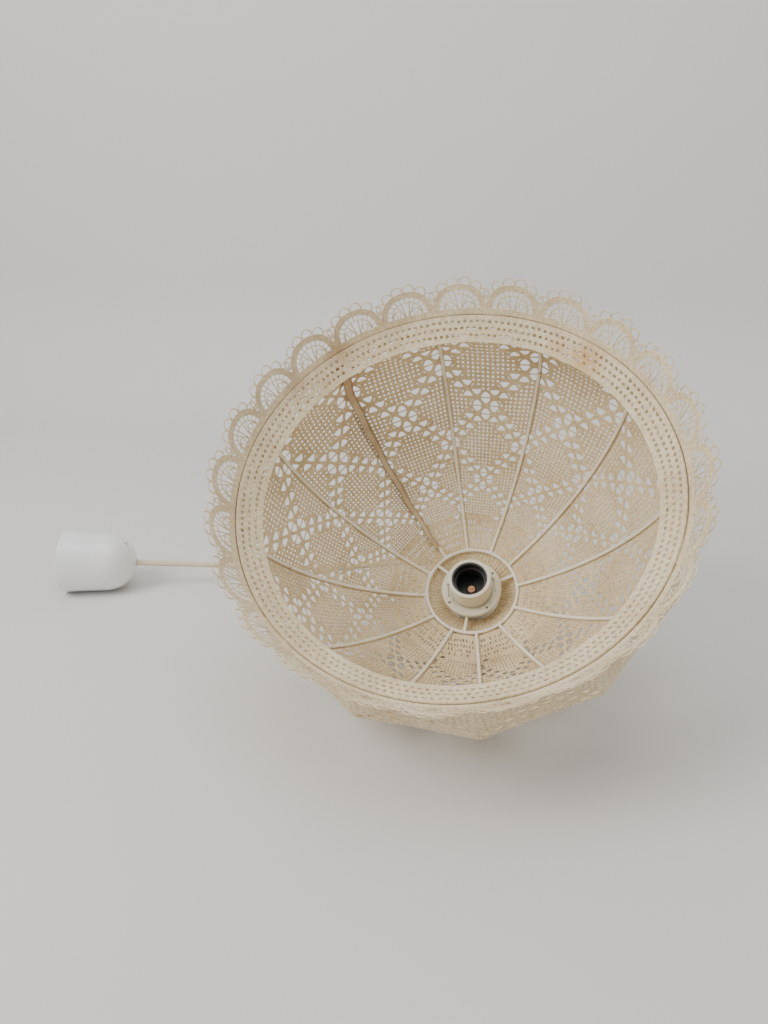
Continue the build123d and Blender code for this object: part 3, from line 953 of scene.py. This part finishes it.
def scallopThreads(half, rng):
    # one scallop of the edging, between its two feet at -half and half
    points, levels, faces = [], [], []
    thread, thin, wander = trim["thread"], trim["thin"], trim["wander"]
    high, wide = trim["archHigh"], trim["bandWide"]
    low = 1.2

    def lay(path, radius, **more):
        path = [(x + rng.uniform(-wander, wander), y + rng.uniform(-wander, wander)) for x, y in path]
        threadTube(path, radius, points, levels, faces, **more)

    # thick double arch band: flat cords side by side
    for step in range(5):
        inward = wide * step / 4
        arch = archPath(half - 0.6 - inward, high - inward, 30, low)
        lay(arch, 0.68, level=0.12 * (step % 2), flatten=0.75)
    # ladder of short rungs to the thin inner arch
    outerHalf, outerHigh = half - 0.6 - wide, high - wide
    innerHalf, innerHigh = outerHalf - 4.6, outerHigh - 4.4
    lay(archPath(innerHalf, innerHigh, 24, low), thread)
    for k in range(1, 12):
        turn = math.pi * k / 12
        a = (outerHalf * math.cos(turn), low + outerHigh * math.sin(turn) ** 0.9)
        b = (innerHalf * math.cos(turn), low + innerHigh * math.sin(turn) ** 0.9)
        lay([a, ((a[0] + b[0]) / 2, (a[1] + b[1]) / 2), b], thin)
    # fan and two small arches inside
    for side in (-1, 1):
        centre = side * innerHalf * 0.56
        lay([(centre + p[0], p[1]) for p in archPath(innerHalf * 0.38, innerHigh * 0.56, 12, low)], thread)
        spine = [(1.2, 0.6), (2.4, innerHigh * 0.5), (3.4, innerHigh * 0.98)]
        lay([(side * x, low + y) for x, y in spine], thread)
        branch = [(0.34, 0.55), (0.46, 0.72), (0.60, 0.86)]
        lay([(side * innerHalf * x, low + innerHigh * y) for x, y in branch], thin)
        for k in (1, 2):
            turn = math.pi * k / 3
            foot = (centre, low)
            tip = (centre + innerHalf * 0.38 * math.cos(turn), low + innerHigh * 0.54 * math.sin(turn))
            lay([foot, ((foot[0] + tip[0]) / 2, (foot[1] + tip[1]) / 2), tip], thin)
    # picot loops on the outside of the arch
    count = trim["picots"]
    for k in range(count):
        turn = math.pi * (0.115 + 0.77 * (k + 0.5) / count)
        along = math.pi * 0.77 / count * (half + high) / 2 * 0.5
        cx, cy = (half - 0.4) * math.cos(turn), low + high * math.sin(turn) ** 0.85
        size = math.hypot(math.cos(turn) * high, math.sin(turn) * half)
        nx, ny = math.cos(turn) * high / size, math.sin(turn) * half / size
        reach = trim["picotReach"] * (0.85 + 0.15 * math.sin(turn))
        loop = []
        for n in range(13):
            swing = math.pi * n / 12
            u, v = along * 1.02 * math.cos(swing), reach * math.sin(swing) ** 0.8
            loop.append((cx - ny * u + nx * v, cy + nx * u + ny * v))
        lay(loop, thread)
    # the small loop over the notch between two scallops
    swings = [math.pi * n / 10 for n in range(11)]
    lay([(half + 3.6 * math.cos(swing), 8.5 + 5.2 * math.sin(swing)) for swing in swings], thread)
    # foot band along the hem, and the solid knot at the notch
    for row in range(5):
        foot = [(half * (k / 8 - 1), -1.4 + row * 0.95) for k in range(17)]
        lay(foot, 0.66, level=-0.5 + 0.12 * row)
    for row in range(4):
        reach = 1.5 - row * 0.25
        up = 3.0 + row * 1.5
        lay([(half - reach, up), (half, 3.3 + row * 1.5), (half + reach, up)], 0.75)
    return points, levels, faces


def makeTrim():
    lean = math.radians(trim["slope"])
    middle = trim["cadThickness"] / 2
    start = (
        gore["rimRadius"] + trim["laceOutside"] + trim["sideGap"] + middle * math.cos(lean),
        gore["edgeHeight"] + trim["endGap"] - middle * math.sin(lean),
    )
    meanRadius = start[0] + 0.35 * trim["width"] * math.sin(lean)
    unit = 2 * math.pi * meanRadius / trim["scallops"]
    rng = random.Random(23)
    places, faces = [], []
    for number in range(trim["scallops"]):
        points, levels, unitFaces = scallopThreads(unit / 2, rng)
        flat = np.array(points)
        flat[:, 0] += (number + 0.5) * unit
        # the limp edging waves in and out a little
        wave = 0.9 * np.sin(flat[:, 0] / unit * 2.1 + 0.7) * (flat[:, 1] / trim["width"]) ** 2
        first = len(places)
        places += list(coneToSpace(flat, np.array(levels) + wave, start, trim["slope"], meanRadius))
        faces += [tuple(first + i for i in f) for f in unitFaces]
    piece = buildMesh("scalloped_trim", places, faces, trimCloth, "shade", angle=70.0)
    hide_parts("lace_trim")
    return len(faces)


print("scalloped trim made:", makeTrim(), "faces")

gather = {
    "length": 22.0,
    "slope": 28.0,
    "folds": 66,
    "foldHigh": 0.75,
    "halfThickness": 0.35,
    "wireRadius": 1.5,
    "below": 3.0,
    "halfCad": 0.5,
    "perFold": 8,
    "rows": 12,
}


def makeGather():
    # cloth drawn in small folds from the top ring towards the holder
    lean = math.radians(90 - gather["slope"])
    outer = (gore["ringRadius"] + gather["wireRadius"], -gather["below"])
    start = (
        outer[0] - gather["length"] * math.sin(lean) + gather["halfCad"] * math.cos(lean),
        outer[1] - gather["length"] * math.cos(lean) - gather["halfCad"] * math.sin(lean),
    )
    perFold, rows = gather["perFold"], gather["rows"]
    around = gather["folds"] * perFold
    rng = random.Random(5)
    uneven = [rng.uniform(0.6, 1.25) for _ in range(gather["folds"])]
    drift = [rng.uniform(-0.3, 0.3) for _ in range(gather["folds"])]
    flat, level = [], []
    for top in (1, -1):
        for row in range(rows + 1):
            share = row / rows
            for k in range(around):
                fold = k // perFold
                phase = 2 * math.pi * (k % perFold) / perFold
                height = gather["foldHigh"] * uneven[fold] * math.sin(phase + drift[fold] * share)
                height *= math.sin(math.pi * min(1, 0.15 + share * 0.7))
                flat.append((k * 2 * math.pi / around, gather["length"] * share))
                level.append(height + top * gather["halfThickness"])
    faces = []
    size = (rows + 1) * around
    for row in range(rows):
        for k in range(around):
            a, b = row * around + k, row * around + (k + 1) % around
            c, d = b + around, a + around
            faces.append((a, b, c, d))
            faces.append((size + b, size + a, size + d, size + c))
    for k in range(around):
        after = (k + 1) % around
        faces.append((after, k, size + k, size + after))
        last = rows * around
        faces.append((last + k, last + after, size + last + after, size + last + k))
    places = coneToSpace(flat, level, start, 90 - gather["slope"], 1.0)
    piece = buildMesh("pleated_neck", places, faces, laceCloth, "shade", angle=80.0)
    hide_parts("neck_gather")
    return piece


makeGather()
print("neck gather made")

seam = {
    "wideTop": 10.0,
    "wideLow": 5.2,
    "inward": 2.5,
    "halfThickness": 0.75,
    "aside": 1.6,
    "lowAlong": 246.0,
    "highAlong": 13.0,
    # how dark the edge lines are, by place across the cover
    "lines": ((0.0, 0.75), (0.14, 0.95), (0.24, 0.12), (0.80, 0.0), (0.97, 0.55)),
}


def seamMaterial():
    # tan cloth with brown edge lines; the red-brown stain is at its upper end
    material, tree, shader = newMaterial("seamCloth", 0.85, sheen=0.2)
    edge = tree.nodes.new("ShaderNodeAttribute")
    edge.attribute_name = "acrossSeam"
    tone = rampOf(tree, noiseOf(tree, 60.0), [(0.3, (0.50, 0.36, 0.20)), (0.65, (0.66, 0.52, 0.33))])
    lines = rampOf(
        tree,
        edge.outputs["Fac"],
        [(place, (dark,) * 3) for place, dark in seam["lines"]],
    )
    gaps = rampOf(tree, noiseOf(tree, 300.0), [(0.3, (0.5,) * 3), (0.6, (1,) * 3)])
    broken = mathOf(tree, "MULTIPLY", lines, gaps)
    colour = mixOf(tree, broken, tone, (0.20, 0.11, 0.045))
    for place, reach, strength, stain in laceMarks[:2]:
        spread = mathOf(tree, "MULTIPLY", nearOf(tree, place, reach * 1.5), noiseOf(tree, 240.0))
        colour = mixOf(tree, mathOf(tree, "MULTIPLY", spread, strength * 1.6), colour, stain)
    tree.links.new(colour, shader.inputs["Base Color"])
    bumpOf(tree, shader, noiseOf(tree, 600.0, 5.0), 0.6, 0.0006)
    return material


def makeSeam():
    steps, sides = 110, 20
    rng = random.Random(11)
    turn = math.radians(seamTurn)
    ray = sideways * math.cos(turn) + upSlope * math.sin(turn)
    aside = upSlope * math.cos(turn) - sideways * math.sin(turn)
    line, lineR, lineH, _ = laceProfile(-seam["inward"])
    inR, inH = np.gradient(lineH, line), -np.gradient(lineR, line)
    if inR[0] > 0:
        inR, inH = -inR, -inH
    places, marks, faces = [], [], []
    for k in range(steps + 1):
        along = seam["lowAlong"] + (seam["highAlong"] - seam["lowAlong"]) * k / steps
        wide = seam["wideLow"] + (seam["wideTop"] - seam["wideLow"]) * (k / steps) ** 1.3
        wide *= 1 + rng.uniform(-0.04, 0.04)
        wander = 0.5 * math.sin(k * 0.31) + rng.uniform(-0.12, 0.12)
        radius, height, goesR, goesH = (float(np.interp(along, line, v)) for v in (lineR, lineH, inR, inH))
        for s in range(sides):
            around = 2 * math.pi * s / sides
            u = wide / 2 * math.cos(around)
            ripple = 0.18 * math.sin(u * 3.1 + k * 0.05) * (1 if math.sin(around) > 0 else 0)
            inward = (seam["halfThickness"] + ripple) * math.sin(around)
            place = ray * (radius + goesR * inward) + shadeAxis * (height + goesH * inward)
            places.append(shadeCentre + (place + aside * (seam["aside"] + wander + u)) * mm)
            marks.append(0.5 + 0.5 * math.cos(around))
    for k in range(steps):
        for s in range(sides):
            t = (s + 1) % sides
            faces.append((k * sides + s, k * sides + t, (k + 1) * sides + t, (k + 1) * sides + s))
    faces.append(tuple(reversed(range(sides))))
    faces.append(tuple(steps * sides + s for s in range(sides)))
    piece = buildMesh("seam_cover", places, faces, seamMaterial(), "shade", angle=70.0)
    across = piece.data.attributes.new("acrossSeam", "FLOAT", "POINT")
    across.data.foreach_set("value", marks)
    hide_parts("seam_strip")
    return piece


makeSeam()
print("seam made")


# the pale floor curves up behind the shade
room = {
    "half": 3.0,
    "back": 0.62,
    "bend": 0.25,
    "high": 3.0,
    "pale": (0.72, 0.71, 0.69),
    "lampColour": (1.0, 0.985, 0.96),
    "skyColour": (0.92, 0.94, 0.97, 1),
    "skyStrength": 0.5,
}


def makeRoom():
    path = [(-room["half"], 0.0), (room["back"], 0.0)]
    for k in range(1, 17):
        turn = math.pi / 2 * k / 16
        path.append((room["back"] + room["bend"] * math.sin(turn), room["bend"] * (1 - math.cos(turn))))
    path.append((room["back"] + room["bend"], room["high"]))
    places = [(x, y, z) for y, z in path for x in (-room["half"], room["half"])]
    faces = [(2 * k, 2 * k + 1, 2 * k + 3, 2 * k + 2) for k in range(len(path) - 1)]
    mesh = bpy.data.meshes.new("pale_floor")
    mesh.from_pydata(places, [], faces)
    mesh.shade_smooth()
    material, tree, shader = newMaterial("paleFloor", 0.7)
    shadow = tuple(c * 0.97 for c in room["pale"])
    tone = rampOf(tree, noiseOf(tree, 3.0), [(0.3, shadow), (0.7, room["pale"])])
    tree.links.new(tone, shader.inputs["Base Color"])
    mesh.materials.append(material)
    floor = bpy.data.objects.new("pale_floor", mesh)
    bpy.context.scene.collection.objects.link(floor)


lamps = [
    # name, place, aims at, power, size
    ("window", (-1.3, -1.1, 1.6), (0, 0, 0.1), 36.0, 1.1),
    ("fill", (1.6, -1.3, 1.2), (0, 0, 0.1), 8.0, 1.8),
    ("ceiling", (0.0, -0.2, 2.2), (0, 0.05, 0), 16.0, 1.6),
]


def makeLights():
    for name, place, aim, power, size in lamps:
        data = bpy.data.lights.new(name, "AREA")
        data.energy = power
        data.size = size
        data.color = room["lampColour"]
        lamp = bpy.data.objects.new(name, data)
        lamp.location = place
        lamp.rotation_euler = (Vector(aim) - Vector(place)).to_track_quat("-Z", "Y").to_euler()
        bpy.context.scene.collection.objects.link(lamp)
    world = bpy.data.worlds.new("soft_room")
    world.use_nodes = True
    background = world.node_tree.nodes["Background"]
    background.inputs["Color"].default_value = room["skyColour"]
    background.inputs["Strength"].default_value = room["skyStrength"]
    bpy.context.scene.world = world


makeRoom()
makeLights()
print("room and lights set")
